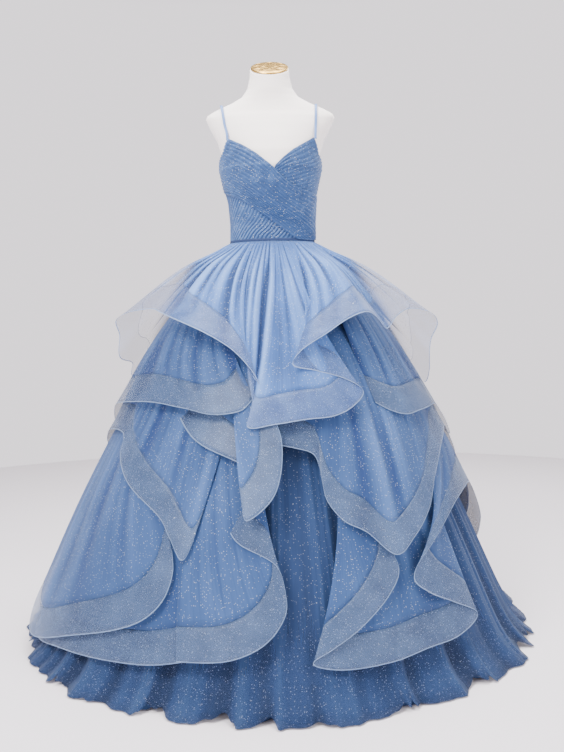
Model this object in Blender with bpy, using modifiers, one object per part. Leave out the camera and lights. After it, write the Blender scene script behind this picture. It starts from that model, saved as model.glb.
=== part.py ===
"""Prom ball gown with four ruffled flounces, standing on a limbless torso form with a stand.

Sizes are metres, +Z is up, the dress faces -Y and the stand's underside rests on z = 0.
A point on the dress is found from a turn in degrees (0 is centre front, positive is the +X side)
and a height, so every panel is worked out from the same rings.
"""
import math

import bmesh
import bpy
from mathutils import Vector

# Heights
WAIST_H = 1.085
SKIRT_TOP = 1.080
HEM_H = 0.004
NECK_TOP = 1.575
SLANT_FROM = 1.495
NECK_SLANT = 0.577

# Cloth walls and the space kept between neighbours
WALL = 0.0010
FORM_GAP = 0.0036
SEAM = 0.0026

# Skirt bell: radius at the waist and at the floor
BELL_TOP = 0.119
BELL_GROW = 0.575
BELL_POWER = 0.82
FLAT_FRONT = 0.033
FLAT_FADE = 0.15

# Torso form: a row per height with half width, half depth to the front, half depth to the back
TORSO = (
    # height, width, front, back
    (0.880, 0.070, 0.060, 0.060),
    (0.900, 0.112, 0.082, 0.092),
    (0.950, 0.132, 0.092, 0.104),
    (1.020, 0.123, 0.088, 0.093),
    (1.085, 0.114, 0.082, 0.084),
    (1.140, 0.114, 0.086, 0.084),
    (1.200, 0.119, 0.097, 0.086),
    (1.250, 0.130, 0.111, 0.089),
    (1.290, 0.139, 0.119, 0.092),
    (1.330, 0.138, 0.116, 0.094),
    (1.370, 0.151, 0.101, 0.094),
    (1.410, 0.172, 0.082, 0.088),
    (1.435, 0.183, 0.068, 0.079),
    (1.447, 0.178, 0.058, 0.071),
    (1.462, 0.150, 0.052, 0.065),
    (1.478, 0.112, 0.048, 0.060),
    (1.495, 0.081, 0.048, 0.057),
    (1.520, 0.064, 0.050, 0.054),
    (1.550, 0.057, 0.050, 0.051),
    (1.575, 0.055, 0.050, 0.050),
)

# Top flounce hem: a row per fold, front first and going round through +X, the back and -X
FLOUNCE_1 = (
    # gather, turn, height, flare, kick
    (-14.0, -8.9, 0.739, 0.155, 0.001),
    (-6.0, -6.4, 0.667, 0.151, 0.000),
    (1.0, -7.3, 0.614, 0.141, 0.004),
    (4.0, 0.5, 0.619, 0.143, 0.000),
    (7.0, 8.9, 0.628, 0.146, 0.000),
    (9.8, 18.0, 0.634, 0.150, 0.000),
    (12.1, 25.3, 0.656, 0.156, 0.000),
    (14.3, 29.8, 0.688, 0.170, 0.000),
    (16.2, 24.2, 0.718, 0.190, 0.000),
    (18.4, 14.3, 0.740, 0.210, 0.000),
    (20.8, 6.6, 0.755, 0.235, 0.000),
    (23.9, 10.0, 0.792, 0.285, 0.010),
    (30.0, 18.8, 0.831, 0.380, 0.020),
    (36.0, 26.1, 0.864, 0.500, 0.030),
    (42.0, 33.6, 0.881, 0.600, 0.030),
    (47.0, 43.0, 0.866, 0.480, 0.010),
    (52.0, 50.0, 0.838, 0.380, 0.000),
    (58.0, 58.0, 0.870, 0.520, 0.000),
    (64.0, 68.0, 0.890, 0.700, 0.000),
    (70.0, 77.0, 0.880, 0.860, 0.000),
    (76.0, 84.0, 0.852, 0.780, 0.000),
    (82.0, 86.0, 0.806, 0.500, 0.000),
    (89.0, 84.0, 0.760, 0.330, 0.000),
    (96.0, 92.0, 0.712, 0.240, 0.000),
    (104.0, 104.0, 0.672, 0.200, 0.000),
    (114.0, 118.0, 0.735, 0.330, 0.010),
    (124.0, 127.0, 0.770, 0.420, 0.020),
    (134.0, 132.0, 0.700, 0.260, 0.000),
    (145.0, 143.0, 0.650, 0.190, 0.000),
    (156.0, 160.0, 0.715, 0.290, 0.010),
    (168.0, 171.0, 0.745, 0.350, 0.020),
    (180.0, 178.0, 0.672, 0.220, 0.000),
    (191.0, 188.0, 0.640, 0.180, 0.000),
    (202.0, 205.0, 0.712, 0.280, 0.010),
    (213.0, 215.0, 0.738, 0.340, 0.020),
    (224.0, 222.0, 0.668, 0.220, 0.000),
    (235.0, 233.0, 0.640, 0.180, 0.000),
    (246.0, 250.0, 0.700, 0.260, 0.000),
    (256.0, 262.0, 0.745, 0.240, 0.000),
    (270.0, 272.0, 0.766, 0.350, 0.000),
    (277.0, 273.0, 0.828, 0.560, 0.000),
    (284.0, 277.0, 0.872, 0.820, 0.000),
    (292.0, 285.0, 0.892, 0.800, 0.000),
    (302.0, 297.0, 0.900, 0.640, 0.000),
    (312.0, 309.0, 0.893, 0.540, 0.020),
    (323.0, 330.5, 0.854, 0.400, 0.040),
    (333.0, 344.2, 0.803, 0.270, 0.020),
    (339.0, 352.0, 0.753, 0.221, 0.010),
    (342.0, 355.4, 0.712, 0.178, 0.000),
)

FLOUNCE_2 = (
    # gather, turn, height, flare, kick
    (36.0, 36.0, 0.655, 0.090, 0.000),
    (44.0, 41.0, 0.633, 0.102, 0.000),
    (52.0, 46.0, 0.622, 0.108, 0.010),
    (62.0, 56.0, 0.628, 0.112, 0.010),
    (74.0, 76.0, 0.626, 0.114, 0.000),
    (86.0, 88.0, 0.570, 0.110, 0.000),
    (98.0, 97.0, 0.520, 0.106, 0.000),
    (112.0, 116.0, 0.575, 0.114, 0.010),
    (124.0, 128.0, 0.600, 0.118, 0.010),
    (138.0, 136.0, 0.535, 0.108, 0.000),
    (152.0, 152.0, 0.500, 0.102, 0.000),
    (166.0, 170.0, 0.560, 0.112, 0.010),
    (178.0, 181.0, 0.580, 0.116, 0.010),
    (190.0, 188.0, 0.520, 0.106, 0.000),
    (204.0, 204.0, 0.495, 0.102, 0.000),
    (218.0, 222.0, 0.560, 0.112, 0.010),
    (230.0, 233.0, 0.585, 0.116, 0.010),
    (242.0, 240.0, 0.525, 0.106, 0.000),
    (256.0, 256.0, 0.560, 0.108, 0.000),
    (280.0, 278.0, 0.632, 0.118, 0.000),
    (298.0, 312.0, 0.662, 0.122, 0.010),
    (312.0, 330.0, 0.654, 0.120, 0.010),
    (324.0, 341.2, 0.641, 0.124, 0.010),
    (329.5, 349.9, 0.649, 0.130, 0.004),
    (334.3, 355.5, 0.678, 0.138, 0.000),
    (338.4, 361.9, 0.593, 0.128, 0.000),
    (339.3, 360.5, 0.476, 0.110, 0.001),
    (343.8, 354.0, 0.415, 0.103, 0.000),
    (346.6, 352.7, 0.448, 0.096, 0.000),
    (349.4, 356.5, 0.497, 0.095, 0.004),
    (353.1, 351.2, 0.530, 0.087, 0.000),
    (357.2, 336.8, 0.576, 0.083, 0.000),
    (361.4, 326.0, 0.636, 0.060, 0.000),
)

FLOUNCE_3 = (
    # gather, turn, height, flare, kick
    (0.0, -6.8, 0.608, 0.056, 0.000),
    (3.0, -3.3, 0.577, 0.058, 0.000),
    (7.0, 4.8, 0.563, 0.057, 0.000),
    (11.0, 10.4, 0.550, 0.065, 0.000),
    (14.6, 12.1, 0.527, 0.060, 0.000),
    (16.5, 12.4, 0.485, 0.064, 0.000),
    (19.0, 13.0, 0.445, 0.066, 0.000),
    (23.0, 16.3, 0.402, 0.068, 0.000),
    (27.0, 21.4, 0.374, 0.069, 0.000),
    (32.0, 27.2, 0.322, 0.070, 0.000),
    (40.0, 33.4, 0.351, 0.071, 0.000),
    (50.0, 41.5, 0.404, 0.072, 0.000),
    (60.0, 50.0, 0.473, 0.073, 0.000),
    (70.0, 64.0, 0.538, 0.078, 0.000),
    (81.0, 82.0, 0.560, 0.084, 0.000),
    (93.0, 94.0, 0.470, 0.076, 0.000),
    (106.0, 104.0, 0.410, 0.070, 0.000),
    (120.0, 122.0, 0.450, 0.076, 0.010),
    (134.0, 138.0, 0.480, 0.080, 0.010),
    (148.0, 148.0, 0.420, 0.072, 0.000),
    (162.0, 161.0, 0.380, 0.068, 0.000),
    (176.0, 180.0, 0.440, 0.076, 0.010),
    (190.0, 193.0, 0.460, 0.078, 0.010),
    (204.0, 203.0, 0.400, 0.070, 0.000),
    (218.0, 217.0, 0.380, 0.068, 0.000),
    (232.0, 236.0, 0.440, 0.076, 0.010),
    (246.0, 250.0, 0.480, 0.080, 0.000),
    (260.0, 259.0, 0.500, 0.080, 0.000),
    (276.0, 277.0, 0.560, 0.072, 0.000),
    (297.0, 300.0, 0.577, 0.066, 0.000),
    (308.0, 305.5, 0.521, 0.058, 0.000),
    (319.0, 314.4, 0.468, 0.053, 0.000),
    (329.0, 328.8, 0.409, 0.049, 0.000),
    (336.0, 334.3, 0.363, 0.049, 0.000),
    (342.4, 338.5, 0.320, 0.049, 0.000),
    (345.5, 340.4, 0.350, 0.046, 0.003),
    (348.0, 340.6, 0.400, 0.043, 0.000),
    (352.1, 339.0, 0.511, 0.037, 0.000),
)

FLOUNCE_4 = (
    # gather, turn, height, flare, kick
    (11.0, 26.8, 0.345, 0.044, 0.000),
    (15.0, 28.2, 0.285, 0.038, 0.000),
    (16.3, 24.3, 0.235, 0.033, 0.000),
    (17.5, 16.8, 0.178, 0.027, 0.000),
    (18.5, 11.0, 0.144, 0.023, 0.000),
    (20.5, 6.8, 0.116, 0.016, 0.000),
    (24.0, 12.5, 0.098, 0.010, 0.000),
    (28.0, 23.0, 0.099, 0.009, 0.000),
    (32.0, 31.6, 0.110, 0.010, 0.000),
    (39.0, 40.4, 0.116, 0.014, 0.000),
    (46.5, 48.0, 0.145, 0.022, 0.000),
    (51.0, 41.0, 0.190, 0.030, 0.000),
    (55.0, 34.5, 0.225, 0.038, 0.000),
    (60.0, 31.0, 0.265, 0.046, 0.000),
    (67.0, 37.0, 0.315, 0.053, 0.000),
    (78.0, 57.0, 0.400, 0.056, 0.000),
    (90.0, 80.0, 0.400, 0.052, 0.000),
    (100.0, 96.0, 0.260, 0.040, 0.000),
    (112.0, 110.0, 0.150, 0.018, 0.000),
    (126.0, 128.0, 0.190, 0.026, 0.010),
    (140.0, 144.0, 0.260, 0.036, 0.010),
    (154.0, 154.0, 0.190, 0.026, 0.000),
    (168.0, 167.0, 0.130, 0.016, 0.000),
    (182.0, 185.0, 0.180, 0.026, 0.010),
    (196.0, 200.0, 0.250, 0.036, 0.010),
    (210.0, 209.0, 0.180, 0.024, 0.000),
    (224.0, 223.0, 0.120, 0.016, 0.000),
    (240.0, 243.0, 0.150, 0.016, 0.000),
    (256.0, 258.0, 0.170, 0.016, 0.000),
    (272.0, 271.0, 0.100, 0.014, 0.000),
    (290.0, 286.0, 0.060, 0.014, 0.000),
    (303.0, 296.0, 0.052, 0.015, 0.000),
    (315.0, 307.5, 0.070, 0.014, 0.000),
    (322.0, 322.3, 0.085, 0.013, 0.000),
    (328.0, 333.8, 0.096, 0.012, 0.000),
    (332.0, 341.0, 0.112, 0.015, 0.000),
    (335.5, 341.0, 0.116, 0.023, 0.000),
    (340.8, 350.7, 0.127, 0.031, 0.000),
    (345.0, 357.6, 0.160, 0.037, 0.000),
    (348.5, 361.6, 0.212, 0.041, 0.000),
    (350.5, 362.0, 0.258, 0.041, 0.000),
    (354.7, 359.9, 0.317, 0.046, 0.000),
    (356.8, 352.0, 0.358, 0.053, 0.000),
    (359.5, 349.7, 0.384, 0.051, 0.013),
)

# Leaf that carries the left cascade on from the third flounce down to the floor
CASCADE_LEAF = (
    # gather, turn, height, flare, kick
    (232.0, 230.0, 0.340, 0.036, 0.000),
    (246.0, 247.0, 0.280, 0.038, 0.000),
    (260.0, 263.0, 0.200, 0.038, 0.000),
    (272.0, 274.0, 0.130, 0.036, 0.000),
    (284.0, 285.0, 0.075, 0.034, 0.000),
    (294.0, 296.0, 0.062, 0.034, 0.000),
    (303.0, 314.0, 0.120, 0.033, 0.000),
    (308.0, 325.6, 0.158, 0.034, 0.000),
    (312.0, 332.0, 0.190, 0.036, 0.000),
    (316.0, 335.8, 0.235, 0.038, 0.000),
    (318.5, 336.8, 0.290, 0.039, 0.000),
    (322.0, 335.5, 0.335, 0.040, 0.000),
)

# Flounces: name, hem table, drop at which the top edge is sewn, length over which it stands off,
# and how late its folds sweep sideways
FLOUNCES = (
    ("top", FLOUNCE_1, 0.004, 0.07, 1.7),
    ("second", FLOUNCE_2, 0.110, 0.08, 1.8),
    ("third", FLOUNCE_3, 0.230, 0.10, 1.8),
    ("lowest", FLOUNCE_4, 0.390, 0.18, 1.7),
    ("leaf", CASCADE_LEAF, 0.370, 0.18, 1.7),
)
FOLD_STEPS = 2
BRAID_WIDTH = 0.075
BRAID_MOST = 0.45
CLOTH_SLANT = 1.10
PANEL_STEPS = 4
FLOUNCE_LIFT = 0.004

# Base skirt
BASE_FOLDS = 44
BASE_COLUMNS = 88
BASE_ROWS = (0.0, 0.30, 0.62, 0.945, 1.0)
BASE_WAVE = 0.011
BASE_SWAY = 0.006
BASE_INSET = (0.002, 0.019)
BASE_FLARE = 0.034
BASE_FLARE_FADE = 0.030

# Bodice panels: turn and height of the upper and the lower edge, a row per station along the pleats
LEFT_CUP = (
    # upper turn, upper height, lower turn, lower height, stand off
    (-96.0, 1.300, -96.0, 1.2300, 0.0050),
    (-78.0, 1.317, -78.0, 1.2220, 0.0050),
    (-62.0, 1.336, -64.0, 1.2140, 0.0050),
    (-48.0, 1.368, -50.0, 1.2060, 0.0052),
    (-32.0, 1.347, -34.0, 1.1890, 0.0054),
    (-15.0, 1.318, -18.0, 1.1660, 0.0056),
    (2.5, 1.2815, 0.0, 1.1390, 0.0056),
    (11.0, 1.2590, 13.0, 1.1165, 0.0056),
    (24.0, 1.2370, 24.0, 1.0995, 0.0056),
    (41.0, 1.2250, 40.0, 1.0930, 0.0056),
    (62.0, 1.2183, 62.0, 1.0930, 0.0056),
    (87.0, 1.2120, 87.0, 1.0930, 0.0056),
)
RIGHT_CUP = (
    (5.5, 1.2865, -12.0, 1.1900, 0.0010),
    (15.0, 1.3096, 1.0, 1.1850, 0.0010),
    (27.0, 1.3320, 15.0, 1.1850, 0.0010),
    (39.0, 1.3511, 30.0, 1.1890, 0.0010),
    (51.0, 1.3693, 47.0, 1.1940, 0.0010),
    (70.0, 1.3260, 68.0, 1.1980, 0.0010),
    (91.0, 1.3020, 91.0, 1.2030, 0.0010),
)
UNDER_WRAP = (
    # a row per pleat line, from its hidden end under the wrap to its end at the side or the waist
    (-90.0, 1.2360, -96.0, 1.2320, 0.0010),
    (-74.0, 1.2280, -96.0, 1.2000, 0.0010),
    (-58.0, 1.2190, -96.0, 1.1480, 0.0010),
    (-42.0, 1.2050, -94.0, 1.0960, 0.0010),
    (-27.0, 1.1870, -72.0, 1.0930, 0.0010),
    (-12.0, 1.1660, -48.0, 1.0930, 0.0010),
    (2.0, 1.1440, -24.0, 1.0930, 0.0010),
    (16.0, 1.1220, -2.0, 1.0930, 0.0010),
    (31.0, 1.1020, 20.0, 1.0930, 0.0010),
)
BACK_LEFT = (
    (-98.0, 1.2980, -98.0, 1.0930, 0.0010),
    (-116.0, 1.2920, -116.0, 1.0930, 0.0010),
    (-136.0, 1.2870, -136.0, 1.0930, 0.0010),
    (-156.0, 1.2760, -156.0, 1.0930, 0.0010),
    (-175.0, 1.2680, -175.0, 1.0930, 0.0010),
)
BACK_RIGHT = (
    (94.0, 1.3000, 94.0, 1.0930, 0.0010),
    (114.0, 1.2920, 114.0, 1.0930, 0.0010),
    (136.0, 1.2870, 136.0, 1.0930, 0.0010),
    (156.0, 1.2760, 156.0, 1.0930, 0.0010),
    (175.0, 1.2680, 175.0, 1.0930, 0.0010),
)

# Straps: a row per point along the strap, from the front neckline over the shoulder to the back
STRAP = (
    # x of the left strap, x of the right strap, y, height
    (0.1190, 0.1246, -0.0730, 1.3728),
    (0.1215, 0.1254, -0.0675, 1.3880),
    (0.1260, 0.1264, -0.0605, 1.4053),
    (0.1295, 0.1273, -0.0552, 1.4258),
    (0.1330, 0.1282, -0.0444, 1.4476),
    (0.1365, 0.1291, -0.0254, 1.4675),
    (0.1390, 0.1300, 0.0000, 1.4742),
    (0.1330, 0.1247, 0.0265, 1.4715),
    (0.1260, 0.1193, 0.0490, 1.4568),
    (0.1190, 0.1140, 0.0648, 1.4367),
    (0.1120, 0.1087, 0.0712, 1.4128),
    (0.1050, 0.1033, 0.0740, 1.3918),
    (0.0980, 0.0980, 0.0760, 1.3730),
    (0.0930, 0.0930, 0.0782, 1.3300),
    (0.0900, 0.0900, 0.0782, 1.2925),
)
PANELS = (
    # name, table, steps across, steps along, pleat depth, pleats run from edge to edge
    ("bodice_left_cup", LEFT_CUP, 26, 16, 0.0018, False),
    ("bodice_right_cup", RIGHT_CUP, 18, 8, 0.0018, False),
    ("bodice_under_wrap", UNDER_WRAP, 6, 20, 0.0018, True),
    ("bodice_back_left", BACK_LEFT, 10, 6, 0.0012, False),
    ("bodice_back_right", BACK_RIGHT, 10, 6, 0.0012, False),
)
PANEL_LOW = 1.0930
TAPE_TOP = 1.0915
TAPE_LOW = 1.0840
TAPE_OUT = 0.0030
PLACKET_TOP = 1.2620
PLACKET_OUT = 0.0054
STRAP_STEPS = 24
STRAP_WIDTH = 0.007
STRAP_THICK = 0.0016

# Stand
POLE_RADIUS = 0.016
POLE_FOOT = 0.0300
PLATE_RADIUS = 0.165
PLATE_THICK = 0.012
COLLAR_RADIUS = 0.034
CAP_OVAL = 0.94
CAP_PROFILE = (
    # rise, radius
    (0.0, 0.0515),
    (0.0020, 0.0535),
    (0.0050, 0.0535),
    (0.0070, 0.0505),
    (0.0085, 0.0300),
)


def clear_scene():
    """Take out whatever the file holds at the start."""
    for item in list(bpy.data.objects):
        bpy.data.objects.remove(item, do_unlink=True)


def srgb(code):
    """Linear colour from a hex code."""
    parts = [int(code[i:i + 2], 16) / 255.0 for i in (0, 2, 4)]
    return [c / 12.92 if c <= 0.04045 else ((c + 0.055) / 1.055) ** 2.4 for c in parts] + [1.0]


def material(name, code, rough, metal=0.0):
    """Plain Principled material of one colour."""
    made = bpy.data.materials.new(name)
    made.use_nodes = True
    shader = made.node_tree.nodes["Principled BSDF"]
    shader.inputs["Base Color"].default_value = srgb(code)
    shader.inputs["Roughness"].default_value = rough
    shader.inputs["Metallic"].default_value = metal
    return made


def spline(a, b, c, d, t):
    """Smooth value between b and c."""
    slope_b = 0.5 * (c - a)
    slope_c = 0.5 * (d - b)
    t2 = t * t
    t3 = t2 * t
    return ((2 * t3 - 3 * t2 + 1) * b + (t3 - 2 * t2 + t) * slope_b
            + (3 * t2 - 2 * t3) * c + (t3 - t2) * slope_c)


def blend_rows(rows, place):
    """Row of an open table at a place from 0 to 1."""
    span = place * (len(rows) - 1)
    i = min(int(span), len(rows) - 2)
    t = span - i
    before, after = rows[max(i - 1, 0)], rows[min(i + 2, len(rows) - 1)]
    return [spline(*cell, t) for cell in zip(before, rows[i], rows[i + 1], after)]


def fold_rows(rows, steps, closed):
    """Rows of a hem table with `steps` from one fold to the next, once round or from end to end."""
    count = len(rows)
    made = []
    for i in range(count * steps if closed else (count - 1) * steps + 1):
        k, t = divmod(i, steps)
        picks = []
        for shift in (-1, 0, 1, 2):
            if closed:
                lap, place = divmod(k + shift, count)
            else:
                lap, place = 0, min(max(k + shift, 0), count - 1)
            row = list(rows[place])
            row[0] += 360.0 * lap
            row[1] += 360.0 * lap
            picks.append(row)
        made.append([spline(*cell, t / steps) for cell in zip(*picks)])
    return made


def torso_ring(height):
    """Half width, front depth and back depth of the form at a height."""
    rows = TORSO
    if height <= rows[0][0]:
        return rows[0][1:]
    for low, high in zip(rows, rows[1:]):
        if height <= high[0]:
            t = (height - low[0]) / (high[0] - low[0])
            return [a + (b - a) * t for a, b in zip(low[1:], high[1:])]
    return rows[-1][1:]


def on_torso(turn, height, out):
    """Point at a distance outside the form."""
    width, front, back = torso_ring(height)
    a = math.radians(turn)
    side, ahead = math.sin(a), math.cos(a)
    depth = front if ahead > 0 else back
    x = width * side
    y = -depth * ahead
    nx, ny = side / width, -ahead / depth
    size = math.hypot(nx, ny)
    return (x + out * nx / size, y + out * ny / size, height)


def bell(height):
    """Radius of the base skirt's mean surface at a height."""
    drop = max(0.0, WAIST_H - height)
    return BELL_TOP + BELL_GROW * (drop / WAIST_H) ** BELL_POWER


def on_skirt(turn, radius, height):
    """Point on the skirt, a little flatter at the front and back of the waist."""
    flat = FLAT_FRONT * math.exp(-max(0.0, WAIST_H - height) / FLAT_FADE)
    a = math.radians(turn)
    return (radius * math.sin(a), -(radius - flat) * math.cos(a), height)


def flounce_point(row, start, stand, late, share):
    """Point of a flounce: share 0 is its gathered top edge and 1 its hem."""
    gather, turn, height, flare, kick = row
    end = WAIST_H - height
    drop = start + (end - start) * share
    sweep = share ** late
    angle = gather + (turn - gather) * sweep
    rise = min(1.0, (drop - start) / stand)
    out = FLOUNCE_LIFT + flare * drop * rise * (2.0 - rise) + kick * share * share
    z = WAIST_H - drop
    return on_skirt(angle, bell(z) + out, z)


def cloth_length(row, start):
    """Length of a flounce from its gathered edge to the hem."""
    return CLOTH_SLANT * (WAIST_H - row[2] - start)


def mesh_object(name, verts, faces, group, look):
    """Object from a list of points and faces."""
    mesh = bpy.data.meshes.new(name)
    mesh.from_pydata(verts, [], faces)
    mesh.update()
    item = bpy.data.objects.new(name, mesh)
    group.objects.link(item)
    item.data.materials.append(look)
    return item


def tidy_normals(item):
    """Make every face look outward."""
    work = bmesh.new()
    work.from_mesh(item.data)
    bmesh.ops.recalc_face_normals(work, faces=work.faces)
    work.to_mesh(item.data)
    work.free()


def thicken(item, thick, side):
    """Give an open surface its cloth wall."""
    wall = item.modifiers.new("wall", "SOLIDIFY")
    wall.thickness = thick
    wall.offset = side
    wall.use_even_offset = False
    wall.use_quality_normals = True


def sheet(name, grid, closed, group, look, thick=WALL, side=0.0):
    """Cloth from a grid of points: rows run from top to bottom, columns round the dress."""
    rows, cols = len(grid), len(grid[0])
    verts = [p for line in grid for p in line]
    faces = []
    last = cols if closed else cols - 1
    for i in range(rows - 1):
        for j in range(last):
            k = (j + 1) % cols
            faces.append((i * cols + j, (i + 1) * cols + j, (i + 1) * cols + k, i * cols + k))
    item = mesh_object(name, verts, faces, group, look)
    thicken(item, thick, side)
    return item


def lathe(name, rings, count, group, look):
    """Closed body from rings given by a point function."""
    verts = []
    faces = []
    for ring in rings:
        verts.extend(ring)
    for i in range(len(rings) - 1):
        for j in range(count):
            k = (j + 1) % count
            faces.append((i * count + j, i * count + k, (i + 1) * count + k, (i + 1) * count + j))
    faces.append(tuple(reversed(range(count))))
    top = (len(rings) - 1) * count
    faces.append(tuple(range(top, top + count)))
    item = mesh_object(name, verts, faces, group, look)
    tidy_normals(item)
    return item


def slanted(point, height):
    """Point moved so that the neck ends in a plane that leans forward."""
    share = min(1.0, max(0.0, (height - SLANT_FROM) / (NECK_TOP - SLANT_FROM)))
    x, y, z = point
    return (x, y, z + NECK_SLANT * share * y)


def build_form(group, looks):
    """Torso, neck cap, pole and base plate."""
    count = 28
    rings = []
    for height, *_ in TORSO:
        rings.append([slanted(on_torso(360.0 * j / count, height, 0.0), height) for j in range(count)])
    lathe("form_torso", rings, count, group, looks["form"])

    low = NECK_TOP + 0.0006
    rings = []
    for rise, radius in CAP_PROFILE:
        ring = []
        for j in range(24):
            a = math.tau * j / 24
            point = (radius * math.sin(a), -CAP_OVAL * radius * math.cos(a), low + rise)
            ring.append(slanted(point, low))
        rings.append(ring)
    lathe("neck_cap", rings, 24, group, looks["gold"])

    rings = []
    for height, radius in ((PLATE_THICK + 0.0006, COLLAR_RADIUS), (POLE_FOOT, COLLAR_RADIUS),
                           (POLE_FOOT + 0.010, POLE_RADIUS), (0.8794, POLE_RADIUS)):
        rings.append([(radius * math.sin(math.tau * j / 20), -radius * math.cos(math.tau * j / 20), height)
                      for j in range(20)])
    lathe("stand_pole", rings, 20, group, looks["steel"])

    rings = []
    for height, radius in ((0.0, PLATE_RADIUS), (PLATE_THICK - 0.003, PLATE_RADIUS),
                           (PLATE_THICK, PLATE_RADIUS - 0.004)):
        rings.append([(radius * math.sin(math.tau * j / 48), -radius * math.cos(math.tau * j / 48), height)
                      for j in range(48)])
    lathe("stand_base", rings, 48, group, looks["steel"])


def build_base_skirt(group, looks):
    """Gathered base skirt that reaches the floor in soft folds, with its under layer."""
    grid = []
    for share in BASE_ROWS:
        height = SKIRT_TOP + (HEM_H - SKIRT_TOP) * share
        spread = BASE_FLARE * math.exp(-height / BASE_FLARE_FADE)
        line = []
        for j in range(BASE_COLUMNS):
            turn = 360.0 * j / BASE_COLUMNS
            wave = BASE_WAVE * (0.08 + 0.92 * share) * math.cos(BASE_FOLDS * math.radians(turn))
            slow = BASE_SWAY * share * math.sin(math.radians(7 * turn + 40))
            inset = BASE_INSET[0] + BASE_INSET[1] * share
            line.append(on_skirt(turn, bell(height) + wave + slow + spread - inset, height))
        grid.append(line)
    sheet("base_skirt", grid, True, group, looks["tulle"])


def build_flounces(group, looks):
    """Four flounces, each a gathered panel with a braid band along its hem."""
    for name, table, start, stand, late in FLOUNCES:
        closed = name == "top"
        rows = fold_rows(table, FOLD_STEPS, closed)
        panel = [[] for _ in range(PANEL_STEPS + 1)]
        band = [[], []]
        shares = [1.0 - min(BRAID_MOST, BRAID_WIDTH / cloth_length(row, start)) for row in rows]
        splits = [Vector(flounce_point(row, start, stand, late, share)) for row, share in zip(rows, shares)]
        for k, row in enumerate(rows):
            share = shares[k]
            last = len(rows) - 1
            along = splits[(k + 1) % len(rows) if closed else min(k + 1, last)] - splits[k - 1 if closed else max(k - 1, 0)]
            down = Vector(flounce_point(row, start, stand, late, 1.0)) - splits[k]
            slant = max(0.12, along.normalized().cross(down.normalized()).length)
            gap = SEAM / (slant * cloth_length(row, start))
            for i in range(PANEL_STEPS + 1):
                panel[i].append(flounce_point(row, start, stand, late, (share - gap) * i / PANEL_STEPS))
            band[0].append(flounce_point(row, start, stand, late, share))
            band[1].append(flounce_point(row, start, stand, late, 1.0))
        sheet("flounce_" + name, panel, closed, group, looks["tulle"])
        sheet("braid_" + name, band, closed, group, looks["braid"])


def build_panel(name, table, across, along, depth, turned, group, look):
    """Ruched bodice panel: its pleats run along the table's rows, or from edge to edge if turned."""
    grid = []
    for i in range(across + 1):
        down = i / across
        line = []
        for j in range(along + 1):
            up_turn, up_height, low_turn, low_height, out = blend_rows(table, j / along)
            turn = up_turn + (low_turn - up_turn) * down
            height = up_height + (low_height - up_height) * down
            ridge = depth if (j if turned else i) % 2 else 0.0
            line.append(on_torso(turn, height, FORM_GAP + out + ridge))
        grid.append(line)
    sheet(name, grid, False, group, look)


def build_bodice(group, looks):
    """Wrap bodice, waist tape, placket and straps."""
    look = looks["bodice"]
    for name, table, across, along, depth, turned in PANELS:
        build_panel(name, table, across, along, depth, turned, group, look)

    tape = []
    for height in (TAPE_TOP, TAPE_LOW):
        tape.append([on_torso(360.0 * j / 40, height, FORM_GAP + TAPE_OUT) for j in range(40)])
    sheet("waist_tape", tape, True, group, looks["tape"], 0.0016)

    placket = []
    for i in range(6):
        height = PLACKET_TOP - (PLACKET_TOP - PANEL_LOW) * i / 5
        placket.append([on_torso(turn, height, FORM_GAP + PLACKET_OUT) for turn in (172.0, 180.0, 188.0)])
    sheet("back_placket", placket, False, group, looks["tape"], 0.0014)

    for name, column, sign in (("strap_left", 0, -1.0), ("strap_right", 1, 1.0)):
        grid = []
        for i in range(STRAP_STEPS + 1):
            row = blend_rows(STRAP, i / STRAP_STEPS)
            x, y, z = sign * row[column], row[2], row[3]
            grid.append([(x - STRAP_WIDTH / 2, y, z), (x + STRAP_WIDTH / 2, y, z)])
        sheet(name, grid, False, group, look, STRAP_THICK)


def build():
    """Whole dress on its form."""
    clear_scene()
    group = bpy.data.collections.new("prom_dress")
    bpy.context.scene.collection.children.link(group)
    looks = {
        "tulle": material("dusty blue glitter tulle", "7796C4", 0.75),
        "braid": material("pale horsehair braid", "A9BCDD", 0.6),
        "bodice": material("ruched tulle over satin", "6484B8", 0.7),
        "tape": material("dusty blue grosgrain", "4F6A9C", 0.7),
        "form": material("off white jersey form", "EFEAE4", 0.8),
        "gold": material("brushed gold cap", "C9A255", 0.35, 1.0),
        "steel": material("dark steel stand", "4A4C50", 0.4, 1.0),
    }
    build_form(group, looks)
    build_base_skirt(group, looks)
    build_flounces(group, looks)
    build_bodice(group, looks)


build()
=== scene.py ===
"""Looks of the dusty blue prom dress on its torso form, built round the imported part."""
import math

import bmesh
import bpy
import numpy as np
from mathutils import Matrix


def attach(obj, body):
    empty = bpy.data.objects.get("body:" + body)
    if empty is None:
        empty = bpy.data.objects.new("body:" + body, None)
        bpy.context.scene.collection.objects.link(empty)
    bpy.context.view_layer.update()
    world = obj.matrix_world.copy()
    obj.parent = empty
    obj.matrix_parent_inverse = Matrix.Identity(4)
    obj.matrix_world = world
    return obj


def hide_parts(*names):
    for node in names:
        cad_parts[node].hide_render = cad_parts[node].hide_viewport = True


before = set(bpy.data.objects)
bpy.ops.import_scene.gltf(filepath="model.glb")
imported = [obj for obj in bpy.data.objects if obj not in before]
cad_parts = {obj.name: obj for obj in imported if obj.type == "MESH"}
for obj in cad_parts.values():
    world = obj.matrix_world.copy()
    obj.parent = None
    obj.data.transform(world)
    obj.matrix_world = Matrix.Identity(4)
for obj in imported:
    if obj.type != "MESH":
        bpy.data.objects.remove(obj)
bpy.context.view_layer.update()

# Sizes in metres, shared with the solids
WAIST_H = 1.085
BELL_TOP, BELL_GROW, BELL_POWER = 0.119, 0.575, 0.82
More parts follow.
